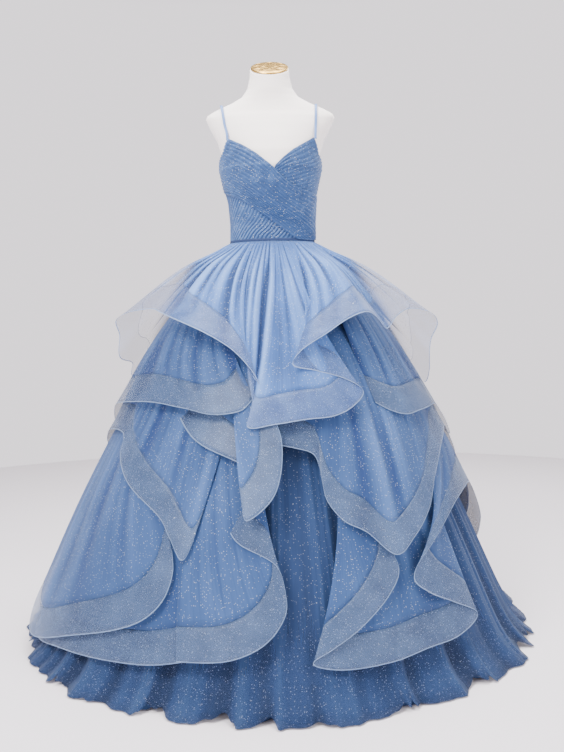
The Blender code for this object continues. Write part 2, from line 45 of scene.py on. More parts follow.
FLAT_FRONT, FLAT_FADE = 0.033, 0.15
FLOUNCE_LIFT = 0.004
BRAID_WIDTH, BRAID_MOST, CLOTH_SLANT = 0.075, 0.45, 1.10
SEAM_SHARE = 0.0012
CLOTH = 0.0005
FORM_GAP = 0.0036
BASE_WAVE, BASE_SWAY, BASE_INSET = 0.0253, 0.006, (0.002, 0.019)
BASE_FLARE, BASE_FLARE_FADE = 0.050, 0.032
SKIRT_TOP, HEM_H = 1.080, 0.004
PANEL_LOW, TAPE_TOP, TAPE_LOW, TAPE_OUT = 1.0930, 1.0915, 1.0840, 0.0030
PLACKET_TOP, PLACKET_OUT = 1.2620, 0.0054
PLACKET_TURN, PLACKET_ARC = 172.0, 16.0
STRAP_WIDTH, STRAP_TUCK = 0.007, 0.009
NECK_TOP, SLANT_FROM, NECK_SLANT, CAP_OVAL = 1.575, 1.495, 0.577, 0.94
CAP_LIFT, CAP_RELIEF = 0.0006, 0.0011
SAME_SPOT = 0.00002
METRES_A_DEGREE = 0.0022

# Glitter: cell, share of the cells that hold a flake and radius of a flake. Real flakes are 0.2 to 0.4 mm
# across, too fine to show, so they are drawn 2 mm across.
FINE_GLITTER = (0.0042, 0.45, 0.0010)
BRAID_GLITTER = (0.0042, 0.55, 0.0010)
RARE_GLITTER = (0.0230, 0.50, 0.0010)
BRAID_RARE_GLITTER = (0.0230, 0.35, 0.0010)
THREAD_WIDTH, STITCH_WIDTH = 0.0022, 0.0024

# Room: floor radius, lights as name, place, size, power and aim, and the camera
FLOOR_RADIUS = 3.2
LIGHTS = (
    ("key", (-1.7, -2.4, 3.4), 1.6, 262.0, (0, 0, 0.9)),
    ("fill", (2.6, -2.4, 2.6), 2.4, 92.0, (0, 0, 0.8)),
    ("top", (0.1, 0.0, 3.8), 2.0, 215.0, (0, 0, 0.6)),
    ("rim", (1.8, 1.8, 2.8), 1.6, 45.0, (0, 0, 1.0)),
)
SENSOR, FOCAL_SHARE = 36.0, 850.0 / 752.0
CAMERA_AT, CAMERA_DOWN, CAMERA_ROLL = (0.021, -2.46, 0.859), 3.62, -0.0168

TORSO = (
    # height, width, front, back
    (0.880, 0.070, 0.060, 0.060),
    (0.900, 0.112, 0.082, 0.092),
    (0.950, 0.132, 0.092, 0.104),
    (1.020, 0.123, 0.088, 0.093),
    (1.085, 0.114, 0.082, 0.084),
    (1.140, 0.114, 0.086, 0.084),
    (1.200, 0.119, 0.097, 0.086),
    (1.250, 0.130, 0.111, 0.089),
    (1.290, 0.139, 0.119, 0.092),
    (1.330, 0.138, 0.116, 0.094),
    (1.370, 0.151, 0.101, 0.094),
    (1.410, 0.172, 0.082, 0.088),
    (1.435, 0.183, 0.068, 0.079),
    (1.447, 0.178, 0.058, 0.071),
    (1.462, 0.150, 0.052, 0.065),
    (1.478, 0.112, 0.048, 0.060),
    (1.495, 0.081, 0.048, 0.057),
    (1.520, 0.064, 0.050, 0.054),
    (1.550, 0.057, 0.050, 0.051),
    (1.575, 0.055, 0.050, 0.050),
)

FLOUNCE_1 = (
    # gather, turn, height, flare, kick
    (-14.0, -8.9, 0.739, 0.155, 0.001),
    (-6.0, -6.4, 0.667, 0.151, 0.000),
    (1.0, -7.3, 0.614, 0.141, 0.004),
    (4.0, 0.5, 0.619, 0.143, 0.000),
    (7.0, 8.9, 0.628, 0.146, 0.000),
    (9.8, 18.0, 0.634, 0.150, 0.000),
    (12.1, 25.3, 0.656, 0.156, 0.000),
    (14.3, 29.8, 0.688, 0.170, 0.000),
    (16.2, 24.2, 0.718, 0.190, 0.000),
    (18.4, 14.3, 0.740, 0.210, 0.000),
    (20.8, 6.6, 0.755, 0.235, 0.000),
    (23.9, 10.0, 0.792, 0.285, 0.010),
    (30.0, 18.8, 0.831, 0.380, 0.020),
    (36.0, 26.1, 0.864, 0.500, 0.030),
    (42.0, 33.6, 0.881, 0.600, 0.030),
    (47.0, 43.0, 0.866, 0.480, 0.010),
    (52.0, 50.0, 0.838, 0.380, 0.000),
    (58.0, 58.0, 0.870, 0.520, 0.000),
    (64.0, 68.0, 0.890, 0.700, 0.000),
    (70.0, 77.0, 0.880, 0.860, 0.000),
    (76.0, 84.0, 0.852, 0.780, 0.000),
    (82.0, 86.0, 0.806, 0.500, 0.000),
    (89.0, 84.0, 0.760, 0.330, 0.000),
    (96.0, 92.0, 0.712, 0.240, 0.000),
    (104.0, 104.0, 0.672, 0.200, 0.000),
    (114.0, 118.0, 0.735, 0.330, 0.010),
    (124.0, 127.0, 0.770, 0.420, 0.020),
    (134.0, 132.0, 0.700, 0.260, 0.000),
    (145.0, 143.0, 0.650, 0.190, 0.000),
    (156.0, 160.0, 0.715, 0.290, 0.010),
    (168.0, 171.0, 0.745, 0.350, 0.020),
    (180.0, 178.0, 0.672, 0.220, 0.000),
    (191.0, 188.0, 0.640, 0.180, 0.000),
    (202.0, 205.0, 0.712, 0.280, 0.010),
    (213.0, 215.0, 0.738, 0.340, 0.020),
    (224.0, 222.0, 0.668, 0.220, 0.000),
    (235.0, 233.0, 0.640, 0.180, 0.000),
    (246.0, 250.0, 0.700, 0.260, 0.000),
    (256.0, 262.0, 0.745, 0.240, 0.000),
    (270.0, 272.0, 0.766, 0.350, 0.000),
    (277.0, 273.0, 0.828, 0.560, 0.000),
    (284.0, 277.0, 0.872, 0.820, 0.000),
    (292.0, 285.0, 0.892, 0.800, 0.000),
    (302.0, 297.0, 0.900, 0.640, 0.000),
    (312.0, 309.0, 0.893, 0.540, 0.020),
    (323.0, 330.5, 0.854, 0.400, 0.040),
    (333.0, 344.2, 0.803, 0.270, 0.020),
    (339.0, 352.0, 0.753, 0.221, 0.010),
    (342.0, 355.4, 0.712, 0.178, 0.000),
)

FLOUNCE_2 = (
    # gather, turn, height, flare, kick
    (36.0, 36.0, 0.655, 0.090, 0.000),
    (44.0, 41.0, 0.633, 0.102, 0.000),
    (52.0, 46.0, 0.622, 0.108, 0.010),
    (62.0, 56.0, 0.628, 0.112, 0.010),
    (74.0, 76.0, 0.626, 0.114, 0.000),
    (86.0, 88.0, 0.570, 0.110, 0.000),
    (98.0, 97.0, 0.520, 0.106, 0.000),
    (112.0, 116.0, 0.575, 0.114, 0.010),
    (124.0, 128.0, 0.600, 0.118, 0.010),
    (138.0, 136.0, 0.535, 0.108, 0.000),
    (152.0, 152.0, 0.500, 0.102, 0.000),
    (166.0, 170.0, 0.560, 0.112, 0.010),
    (178.0, 181.0, 0.580, 0.116, 0.010),
    (190.0, 188.0, 0.520, 0.106, 0.000),
    (204.0, 204.0, 0.495, 0.102, 0.000),
    (218.0, 222.0, 0.560, 0.112, 0.010),
    (230.0, 233.0, 0.585, 0.116, 0.010),
    (242.0, 240.0, 0.525, 0.106, 0.000),
    (256.0, 256.0, 0.560, 0.108, 0.000),
    (280.0, 278.0, 0.632, 0.118, 0.000),
    (298.0, 312.0, 0.662, 0.122, 0.010),
    (312.0, 330.0, 0.654, 0.120, 0.010),
    (324.0, 341.2, 0.641, 0.124, 0.010),
    (329.5, 349.9, 0.649, 0.130, 0.004),
    (334.3, 355.5, 0.678, 0.138, 0.000),
    (338.4, 361.9, 0.593, 0.128, 0.000),
    (339.3, 360.5, 0.476, 0.110, 0.001),
    (343.8, 354.0, 0.415, 0.103, 0.000),
    (346.6, 352.7, 0.448, 0.096, 0.000),
    (349.4, 356.5, 0.497, 0.095, 0.004),
    (353.1, 351.2, 0.530, 0.087, 0.000),
    (357.2, 336.8, 0.576, 0.083, 0.000),
    (361.4, 326.0, 0.636, 0.060, 0.000),
)

FLOUNCE_3 = (
    # gather, turn, height, flare, kick
    (0.0, -6.8, 0.608, 0.056, 0.000),
    (3.0, -3.3, 0.577, 0.058, 0.000),
    (7.0, 4.8, 0.563, 0.057, 0.000),
    (11.0, 10.4, 0.550, 0.065, 0.000),
    (14.6, 12.1, 0.527, 0.060, 0.000),
    (16.5, 12.4, 0.485, 0.064, 0.000),
    (19.0, 13.0, 0.445, 0.066, 0.000),
    (23.0, 16.3, 0.402, 0.068, 0.000),
    (27.0, 21.4, 0.374, 0.069, 0.000),
    (32.0, 27.2, 0.322, 0.070, 0.000),
    (40.0, 33.4, 0.351, 0.071, 0.000),
    (50.0, 41.5, 0.404, 0.072, 0.000),
    (60.0, 50.0, 0.473, 0.073, 0.000),
    (70.0, 64.0, 0.538, 0.078, 0.000),
    (81.0, 82.0, 0.560, 0.084, 0.000),
    (93.0, 94.0, 0.470, 0.076, 0.000),
    (106.0, 104.0, 0.410, 0.070, 0.000),
    (120.0, 122.0, 0.450, 0.076, 0.010),
    (134.0, 138.0, 0.480, 0.080, 0.010),
    (148.0, 148.0, 0.420, 0.072, 0.000),
    (162.0, 161.0, 0.380, 0.068, 0.000),
    (176.0, 180.0, 0.440, 0.076, 0.010),
    (190.0, 193.0, 0.460, 0.078, 0.010),
    (204.0, 203.0, 0.400, 0.070, 0.000),
    (218.0, 217.0, 0.380, 0.068, 0.000),
    (232.0, 236.0, 0.440, 0.076, 0.010),
    (246.0, 250.0, 0.480, 0.080, 0.000),
    (260.0, 259.0, 0.500, 0.080, 0.000),
    (276.0, 277.0, 0.560, 0.072, 0.000),
    (297.0, 300.0, 0.577, 0.066, 0.000),
    (308.0, 305.5, 0.521, 0.058, 0.000),
    (319.0, 314.4, 0.468, 0.053, 0.000),
    (329.0, 328.8, 0.409, 0.049, 0.000),
    (336.0, 334.3, 0.363, 0.049, 0.000),
    (342.4, 338.5, 0.320, 0.049, 0.000),
    (345.5, 340.4, 0.350, 0.046, 0.003),
    (348.0, 340.6, 0.400, 0.043, 0.000),
    (352.1, 339.0, 0.511, 0.037, 0.000),
)

FLOUNCE_4 = (
    # gather, turn, height, flare, kick
    (11.0, 26.8, 0.345, 0.044, 0.000),
    (15.0, 28.2, 0.285, 0.038, 0.000),
    (16.3, 24.3, 0.235, 0.033, 0.000),
    (17.5, 16.8, 0.178, 0.027, 0.000),
    (18.5, 11.0, 0.144, 0.023, 0.000),
    (20.5, 6.8, 0.116, 0.016, 0.000),
    (24.0, 12.5, 0.098, 0.010, 0.000),
    (28.0, 23.0, 0.099, 0.009, 0.000),
    (32.0, 31.6, 0.110, 0.010, 0.000),
    (39.0, 40.4, 0.116, 0.014, 0.000),
    (46.5, 48.0, 0.145, 0.022, 0.000),
    (51.0, 41.0, 0.190, 0.030, 0.000),
    (55.0, 34.5, 0.225, 0.038, 0.000),
    (60.0, 31.0, 0.265, 0.046, 0.000),
    (67.0, 37.0, 0.315, 0.053, 0.000),
    (78.0, 57.0, 0.400, 0.056, 0.000),
    (90.0, 80.0, 0.400, 0.052, 0.000),
    (100.0, 96.0, 0.260, 0.040, 0.000),
    (112.0, 110.0, 0.150, 0.018, 0.000),
    (126.0, 128.0, 0.190, 0.026, 0.010),
    (140.0, 144.0, 0.260, 0.036, 0.010),
    (154.0, 154.0, 0.190, 0.026, 0.000),
    (168.0, 167.0, 0.130, 0.016, 0.000),
    (182.0, 185.0, 0.180, 0.026, 0.010),
    (196.0, 200.0, 0.250, 0.036, 0.010),
    (210.0, 209.0, 0.180, 0.024, 0.000),
    (224.0, 223.0, 0.120, 0.016, 0.000),
    (240.0, 243.0, 0.150, 0.016, 0.000),
    (256.0, 258.0, 0.170, 0.016, 0.000),
    (272.0, 271.0, 0.100, 0.014, 0.000),
    (290.0, 286.0, 0.060, 0.014, 0.000),
    (303.0, 296.0, 0.052, 0.015, 0.000),
    (315.0, 307.5, 0.070, 0.014, 0.000),
    (322.0, 322.3, 0.085, 0.013, 0.000),
    (328.0, 333.8, 0.096, 0.012, 0.000),
    (332.0, 341.0, 0.112, 0.015, 0.000),
    (335.5, 341.0, 0.116, 0.023, 0.000),
    (340.8, 350.7, 0.127, 0.031, 0.000),
    (345.0, 357.6, 0.160, 0.037, 0.000),
    (348.5, 361.6, 0.212, 0.041, 0.000),
    (350.5, 362.0, 0.258, 0.041, 0.000),
    (354.7, 359.9, 0.317, 0.046, 0.000),
    (356.8, 352.0, 0.358, 0.053, 0.000),
    (359.5, 349.7, 0.384, 0.051, 0.013),
)

CASCADE_LEAF = (
    # gather, turn, height, flare, kick
    (232.0, 230.0, 0.340, 0.036, 0.000),
    (246.0, 247.0, 0.280, 0.038, 0.000),
    (260.0, 263.0, 0.200, 0.038, 0.000),
    (272.0, 274.0, 0.130, 0.036, 0.000),
    (284.0, 285.0, 0.075, 0.034, 0.000),
    (294.0, 296.0, 0.062, 0.034, 0.000),
    (303.0, 314.0, 0.120, 0.033, 0.000),
    (308.0, 325.6, 0.158, 0.034, 0.000),
    (312.0, 332.0, 0.190, 0.036, 0.000),
    (316.0, 335.8, 0.235, 0.038, 0.000),
    (318.5, 336.8, 0.290, 0.039, 0.000),
    (322.0, 335.5, 0.335, 0.040, 0.000),
)

STRAP = (
    # x of the left strap, x of the right strap, y, height
    (0.1190, 0.1246, -0.0730, 1.3728),
    (0.1215, 0.1254, -0.0675, 1.3880),
    (0.1260, 0.1264, -0.0605, 1.4053),
    (0.1295, 0.1273, -0.0552, 1.4258),
    (0.1330, 0.1282, -0.0444, 1.4476),
    (0.1365, 0.1291, -0.0254, 1.4675),
    (0.1390, 0.1300, 0.0000, 1.4742),
    (0.1330, 0.1247, 0.0265, 1.4715),
    (0.1260, 0.1193, 0.0490, 1.4568),
    (0.1190, 0.1140, 0.0648, 1.4367),
    (0.1120, 0.1087, 0.0712, 1.4128),
    (0.1050, 0.1033, 0.0740, 1.3918),
    (0.0980, 0.0980, 0.0760, 1.3730),
    (0.0930, 0.0930, 0.0782, 1.3300),
    (0.0900, 0.0900, 0.0782, 1.2925),
)


def srgb(code):
    """Linear colour from a hex code."""
    parts = [int(code[i:i + 2], 16) / 255.0 for i in (0, 2, 4)]
    return [c / 12.92 if c <= 0.04045 else ((c + 0.055) / 1.055) ** 2.4 for c in parts] + [1.0]


def smooth(x):
    """Soft step from 0 to 1."""
    x = np.clip(x, 0.0, 1.0)
    return x * x * (3.0 - 2.0 * x)


def table_at(table, place, closed):
    """Columns of a table at places counted in rows, smoothly between them."""
    rows = np.array(table, float)
    count = len(rows)
    k = np.floor(place).astype(int)
    if not closed:
        k = np.clip(k, 0, count - 2)
    t = (place - k)[:, None]
    picks = []
    for shift in (-1, 0, 1, 2):
        if closed:
            lap, row = np.divmod(k + shift, count)
        else:
            lap, row = 0 * k, np.clip(k + shift, 0, count - 1)
        pick = rows[row].copy()
        pick[:, 0] += 360.0 * lap * closed
        pick[:, 1] += 360.0 * lap * closed
        picks.append(pick)
    a, b, c, d = picks
    t2, t3 = t * t, t * t * t
    return ((2 * t3 - 3 * t2 + 1) * b + (t3 - 2 * t2 + t) * 0.5 * (c - a)
            + (3 * t2 - 2 * t3) * c + (t3 - t2) * 0.5 * (d - b))


def bell(height):
    """Radius of the base skirt's mean surface at a height."""
    drop = np.maximum(0.0, WAIST_H - height)
    return BELL_TOP + BELL_GROW * (drop / WAIST_H) ** BELL_POWER


def on_skirt(turn, radius, height):
    """Points on the skirt, flatter at the front and back of the waist."""
    flat = FLAT_FRONT * np.exp(-np.maximum(0.0, WAIST_H - height) / FLAT_FADE)
    a = np.radians(turn)
    return np.stack([radius * np.sin(a), -(radius - flat) * np.cos(a), height], -1)


def torso_at(height):
    """Half width, front depth and back depth of the form at heights."""
    rows = np.array(TORSO, float)
    return [np.interp(height, rows[:, 0], rows[:, k]) for k in (1, 2, 3)]


def on_torso(turn, height, out):
    """Points at a distance outside the form."""
    width, front, back = torso_at(height)
    a = np.radians(turn)
    side, ahead = np.sin(a), np.cos(a)
    depth = np.where(ahead > 0.0, front, back)
    x, y = width * side, -depth * ahead
    nx, ny = side / width, -ahead / depth
    size = np.hypot(nx, ny)
    return np.stack([x + out * nx / size, y + out * ny / size, height], -1)


def slanted(points, height):
    """Points moved so that the neck ends in a plane that leans forward."""
    share = np.clip((height - SLANT_FROM) / (NECK_TOP - SLANT_FROM), 0.0, 1.0)
    moved = np.array(points)
    moved[:, 2] += NECK_SLANT * share * moved[:, 1]
    return moved


def ripple(turn, seed, many):
    """Uneven gathers, about -1 to 1, with about `many` of them round the dress."""
    a = np.radians(turn)
    slow = 1.3 * np.sin(3 * a + seed) + 0.9 * np.sin(7 * a + 2.1 * seed) + 0.5 * np.sin(13 * a + 0.7 * seed)
    return (0.58 * np.sin(many * a + 2.2 * slow + seed)
            + 0.27 * np.sin(1.62 * many * a - 1.9 * slow + 2 * seed)
            + 0.15 * np.sin(2.7 * many * a + slow))


def ridges(wave):
    """Soft wave turned into broad ridges parted by narrow grooves, 0 to 1."""
    return 1.0 - np.clip(0.5 - 0.5 * wave, 0.0, 1.0) ** 2.6


def blurred(values, reach, closed):
    """Mean of a grid's rows over `reach` columns to each side."""
    if closed:
        ring = values[:, :-1]
        total = sum(np.roll(ring, shift, 1) for shift in range(-reach, reach + 1))
        return np.concatenate([total, total[:, :1]], 1) / (2 * reach + 1)
    padded = np.pad(values, ((0, 0), (reach, reach)), mode="edge")
    width = values.shape[1]
    return sum(padded[:, k:k + width] for k in range(2 * reach + 1)) / (2 * reach + 1)


def new_material(name):
    """Material with its node tree and shader."""
    made = bpy.data.materials.new(name)
    made.use_nodes = True
    tree = made.node_tree
    return made, tree, tree.nodes["Principled BSDF"]


def add(tree, kind, values=None, links=None, **settings):
    """Node with its settings, constant inputs and incoming links."""
    node = tree.nodes.new(kind)
    for key, value in settings.items():
        setattr(node, key, value)
    for key, value in (values or {}).items():
        node.inputs[key].default_value = value
    for key, source in (links or {}).items():
        tree.links.new(source, node.inputs[key])
    return node


def feed(tree, socket, value):
    """Socket set to a hex code or a number, or linked to an output."""
    if isinstance(value, str):
        socket.default_value = srgb(value)
    elif isinstance(value, float):
        socket.default_value = value
    else:
        tree.links.new(value, socket)


def mixed(tree, factor, first, second):
    """Colour between two others, each a hex code or an output."""
    node = add(tree, "ShaderNodeMix", data_type="RGBA")
    feed(tree, node.inputs["Factor"], factor)
    feed(tree, node.inputs[6], first)
    feed(tree, node.inputs[7], second)
    return node.outputs[2]


def sums(tree, operation, *values, clamp=False):
    """Result of one step of arithmetic on outputs or numbers."""
    node = add(tree, "ShaderNodeMath", operation=operation, use_clamp=clamp)
    for socket, value in zip(node.inputs, values):
        feed(tree, socket, value)
    return node.outputs[0]


def glitter(tree, coords, flakes):
    """0 to 1 mask of round flakes, each with its own painted glint brightness, in cells of a size in metres.
    """
    cell, share, size = flakes
    cells = add(tree, "ShaderNodeTexVoronoi", {"Scale": 1.0 / cell, "Randomness": 1.0}, {"Vector": coords})
    split = add(tree, "ShaderNodeSeparateColor", None, {"Color": cells.outputs["Color"]})
    chosen = sums(tree, "GREATER_THAN", split.outputs["Red"], 1.0 - share)
    dot = sums(tree, "LESS_THAN", cells.outputs["Distance"], size / cell)
    # Painted glint: each flake's own brightness stands for how it catches the light
    glint_strength = sums(tree, "MULTIPLY_ADD", split.outputs["Green"], 0.6, 0.4)
    return sums(tree, "MULTIPLY", sums(tree, "MULTIPLY", chosen, dot), glint_strength)


def cloth_material(name, dark, middle, light, rough, sheen, streaks=(150.0, 6.0), flake=0.5):
    """Glitter tulle: painted shade in the folds and painted highlight on the ridges, streaked down the
    cloth, see-through by `sheer`.
    """
    made, tree, shader = new_material(name)
    uv = add(tree, "ShaderNodeUVMap", uv_map="cloth")
    place = add(tree, "ShaderNodeTexCoord")
    stretch = add(tree, "ShaderNodeMapping", {"Scale": (streaks[0], streaks[1], 1.0)},
                  {"Vector": uv.outputs["UV"]})
    grain = add(tree, "ShaderNodeTexNoise", {"Scale": 1.0, "Detail": 4.0, "Roughness": 0.65},
                {"Vector": stretch.outputs["Vector"]})
    broad = add(tree, "ShaderNodeTexNoise", {"Scale": 7.0, "Detail": 2.0},
                {"Vector": place.outputs["Object"]})
    # Painted shade and highlight: cloth darker where it sinks between folds, paler where it stands out
    fold_shade = add(tree, "ShaderNodeAttribute", attribute_name="fold_shade")
    height = sums(tree, "MULTIPLY_ADD", grain.outputs["Fac"], 0.9, fold_shade.outputs["Fac"])
    height = sums(tree, "ADD", height, sums(tree, "MULTIPLY", broad.outputs["Fac"], 0.7))
    low = add(tree, "ShaderNodeMapRange", {"From Min": 0.15, "From Max": 0.85}, {"Value": height})
    high = add(tree, "ShaderNodeMapRange", {"From Min": 0.80, "From Max": 1.60}, {"Value": height})
    tone = mixed(tree, low.outputs["Result"], dark, middle)
    tone = mixed(tree, high.outputs["Result"], tone, light)
    fine = sums(tree, "MULTIPLY", glitter(tree, place.outputs["Object"], FINE_GLITTER), flake)
    rare = sums(tree, "MULTIPLY", glitter(tree, place.outputs["Object"], RARE_GLITTER), 0.3 + flake)
    # Real glitter flakes, painted near white as glints
    flake_glint = sums(tree, "MAXIMUM", fine, rare)
    tree.links.new(mixed(tree, flake_glint, tone, "F2F6FF"), shader.inputs["Base Color"])
    gloss = add(tree, "ShaderNodeMapRange", {"To Min": rough, "To Max": 0.25}, {"Value": flake_glint})
    tree.links.new(gloss.outputs["Result"], shader.inputs["Roughness"])
    shader.inputs["Sheen Weight"].default_value = sheen
    shader.inputs["Sheen Roughness"].default_value = 0.5
    shader.inputs["Sheen Tint"].default_value = srgb("B8CDF2")
    shader.inputs["Specular IOR Level"].default_value = 0.25
    sheer = add(tree, "ShaderNodeAttribute", attribute_name="sheer")
    solid = sums(tree, "SUBTRACT", 1.0, sheer.outputs["Fac"], clamp=True)
    tree.links.new(sums(tree, "MAXIMUM", solid, flake_glint), shader.inputs["Alpha"])
    bump = add(tree, "ShaderNodeBump", {"Strength": 0.35, "Distance": 0.0015},
               {"Height": grain.outputs["Fac"]})
    tree.links.new(bump.outputs["Normal"], shader.inputs["Normal"])
    return made


def braid_material(name, dark, light, edge):
    """Open horsehair braid: hazy and see-through, with a firm pale thread along the hem, painted shade in
    its folds and painted highlight on its ridges.
    """
    made, tree, shader = new_material(name)
    uv = add(tree, "ShaderNodeUVMap", uv_map="cloth")
    place = add(tree, "ShaderNodeTexCoord")
    parts = add(tree, "ShaderNodeSeparateXYZ", None, {"Vector": uv.outputs["UV"]})
    thread = sums(tree, "LESS_THAN", parts.outputs["Y"], THREAD_WIDTH)
    seam = sums(tree, "GREATER_THAN", parts.outputs["Y"], BRAID_WIDTH - STITCH_WIDTH)
    haze = add(tree, "ShaderNodeTexNoise", {"Scale": 22.0, "Detail": 4.0, "Roughness": 0.6},
               {"Vector": place.outputs["Object"]})
    # Painted shade and highlight: braid darker where it sinks between folds, paler where it stands out
    fold_shade = add(tree, "ShaderNodeAttribute", attribute_name="fold_shade")
    height = sums(tree, "MULTIPLY_ADD", fold_shade.outputs["Fac"], 0.5, haze.outputs["Fac"])
    ramp = add(tree, "ShaderNodeMapRange", {"From Min": 0.25, "From Max": 0.75}, {"Value": height})
    tone = mixed(tree, ramp.outputs["Result"], dark, light)
    tone = mixed(tree, thread, tone, edge)
    fine = sums(tree, "MULTIPLY", glitter(tree, place.outputs["Object"], BRAID_GLITTER), 0.30)
    rare = glitter(tree, place.outputs["Object"], BRAID_RARE_GLITTER)
    # Real glitter flakes, painted near white as glints
    flake_glint = sums(tree, "MAXIMUM", fine, rare)
    tree.links.new(mixed(tree, flake_glint, tone, "F6F8FF"), shader.inputs["Base Color"])
    shader.inputs["Roughness"].default_value = 0.5
    shader.inputs["Sheen Weight"].default_value = 0.35
    shader.inputs["Sheen Roughness"].default_value = 0.4
    shader.inputs["Sheen Tint"].default_value = srgb("C6D6F2")
    sheer = add(tree, "ShaderNodeAttribute", attribute_name="sheer")
    solid = sums(tree, "SUBTRACT", 1.0, sheer.outputs["Fac"], clamp=True)
    firm = sums(tree, "MAXIMUM", sums(tree, "MULTIPLY", thread, 0.75), sums(tree, "MULTIPLY", seam, 0.35))
    tree.links.new(sums(tree, "MAXIMUM", sums(tree, "MAXIMUM", solid, flake_glint), firm), shader.inputs["Alpha"])
    return made


def plain_material(name, code, rough, metal=0.0, sheen=0.0):
    """Material of one even colour."""
    made, tree, shader = new_material(name)
    shader.inputs["Base Color"].default_value = srgb(code)
    shader.inputs["Roughness"].default_value = rough
    shader.inputs["Metallic"].default_value = metal
    shader.inputs["Sheen Weight"].default_value = sheen
    return made


def as_object(name, work, look):
    """Finished bmesh turned into an object of one material."""
    mesh = bpy.data.meshes.new(name)
    work.to_mesh(mesh)
    work.free()
    item = bpy.data.objects.new(name, mesh)
    bpy.context.scene.collection.objects.link(item)
    item.data.materials.append(look)
    return item


def cloth(name, across, down, shape, closed, look, sheer=None, width=1.0, length=1.0,
          thick=CLOTH, deep=0.006, reach=4):
    """Thin sheet: a grid placed by `shape`, u along the seam and v from the top edge to the hem."""
    work = bmesh.new()
    bmesh.ops.create_grid(work, x_segments=across, y_segments=down, size=0.5)
    flat = np.array([v.co[:2] for v in work.verts]) + 0.5
    order = np.lexsort((np.round(flat[:, 0], 6), -np.round(flat[:, 1], 6)))
    columns = len(np.unique(np.round(flat[:, 0], 6)))
    u = np.clip(flat[order, 0], 0.0, 1.0)
    v = np.clip(1.0 - flat[order, 1], 0.0, 1.0)
    spots = shape(u, v)
    away = np.hypot(spots[:, 0], spots[:, 1]).reshape(-1, columns)
    # How far each point stands out from its neighbours, used as painted shade in the hollows and painted
    # highlight on the ridges
    fold_shade = (away - blurred(away, reach, closed)).ravel() / deep
    clear = sheer(u, v, spots) if sheer else np.zeros(len(u))
    uv = work.loops.layers.uv.new("cloth")
    sheer_layer = work.verts.layers.float.new("sheer")
    fold_shade_layer = work.verts.layers.float.new("fold_shade")
    work.verts.ensure_lookup_table()
    for i, old in enumerate(order):
        vert = work.verts[int(old)]
        vert.co = spots[i]
        vert[sheer_layer] = float(clear[i])
        vert[fold_shade_layer] = float(np.clip(fold_shade[i], -1.0, 1.0))
        for loop in vert.link_loops:
            loop[uv].uv = (u[i] * width, (1.0 - v[i]) * length)
    if closed:
        bmesh.ops.remove_doubles(work, verts=work.verts, dist=SAME_SPOT)
    bmesh.ops.recalc_face_normals(work, faces=work.faces)
    for face in work.faces:
        face.smooth = True
    item = as_object(name, work, look)
    wall = item.modifiers.new("wall", "SOLIDIFY")
    wall.thickness = thick
    wall.offset = 0.0
    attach(item, "root")
    return item


def eased(share, near, far):
    """0 to 1 between the two shares of `near`, and back to 0 between those of `far`."""
    return (smooth((share - near[0]) / (near[1] - near[0]))
            * (1.0 - smooth((share - far[0]) / (far[1] - far[0]))))


def crease(gather, share, at, wide, first, last):
    """Soft main crease along one gather, 0 to 1, that sways a little and fades at both ends."""
    away = (gather - at + 180.0) % 360.0 - 180.0 + 0.15 * wide * np.sin(9.0 * share + at)
    return np.exp(-(away / wide) ** 2) * smooth((share - first) / 0.25) * smooth((last - share) / 0.25)


def flounce_shape(part, table, start, stand, late, closed, waves, creases, seed):
    """Placing function of a flounce's panel or of the band along its hem."""
    rows = len(table)

    def shape(u, v):
        place = u * (rows if closed else rows - 1)
        if closed:
            place = np.where(u >= 1.0, 0.0, place)
        gather, turn, height, flare, kick = table_at(table, place, closed).T
        split = 1.0 - np.minimum(BRAID_MOST, BRAID_WIDTH / (CLOTH_SLANT * (WAIST_H - height - start)))
        share = (split - SEAM_SHARE) * v if part == "panel" else split + (1.0 - split) * v
        end = WAIST_H - height
        drop = start + (end - start) * share
        sweep = share ** late
        angle = gather + (turn - gather) * sweep
        rise = np.minimum(1.0, (drop - start) / stand)
        out = FLOUNCE_LIFT + flare * drop * rise * (2.0 - rise) + kick * share * share
        for many, size, near, far in waves:
            out = out + size * eased(share, near, far) * ridges(ripple(gather, seed + many, many))
        for at, wide, size, first, last in creases:
            out = out + size * crease(gather, share, at, wide, first, last)
        z = WAIST_H - drop
        return on_skirt(angle, bell(z) + out, z)
    return shape


def sheer_by_place(front, sides, hem):
    """How see-through a flounce is: nearly clear where it flutes out at the sides, less so over others."""
    def sheer(u, v, spots):
        away = np.hypot(spots[:, 0], spots[:, 1])
        side = smooth((np.abs(spots[:, 0]) / away - 0.62) / 0.26)
        out = smooth((away - bell(spots[:, 2]) - 0.025) / 0.055)
        return front + hem * v * v + (sides - front - hem * v * v) * side * out
    return sheer


# Soft nylon tulle with glued glitter: matt, with painted shade in the folds and painted highlight on the
# ridges, and cool sparks painted as glints on the flakes
tulle = cloth_material("dusty blue glitter tulle", "213B6C", "466CAC", "7298D6", 0.75, 0.2)
# Same tulle as the top flounce with darker colours and dimmer glitter: painted shade under the flounces
# above
tulle_low_shaded = cloth_material("dusty blue glitter tulle, lower flounces", "20386A", "304B7A", "4A699E",
                           0.75, 0.2, flake=0.4)
# Same tulle again, darker still and with dimmer glitter: painted shade under the flounces and near the floor
tulle_base_shaded = cloth_material("dusty blue glitter tulle, base skirt", "1C2C4C", "233860", "304870",
                            0.8, 0.12, flake=0.22)
# Plain tulle in the shade of the skirt, its colours darkened as painted shade: dark and dull
tulle_under_shaded = cloth_material("tulle underskirt, dark for painted shade", "1A2946", "203250", "293F60",
                             0.85, 0.1, flake=0.1)
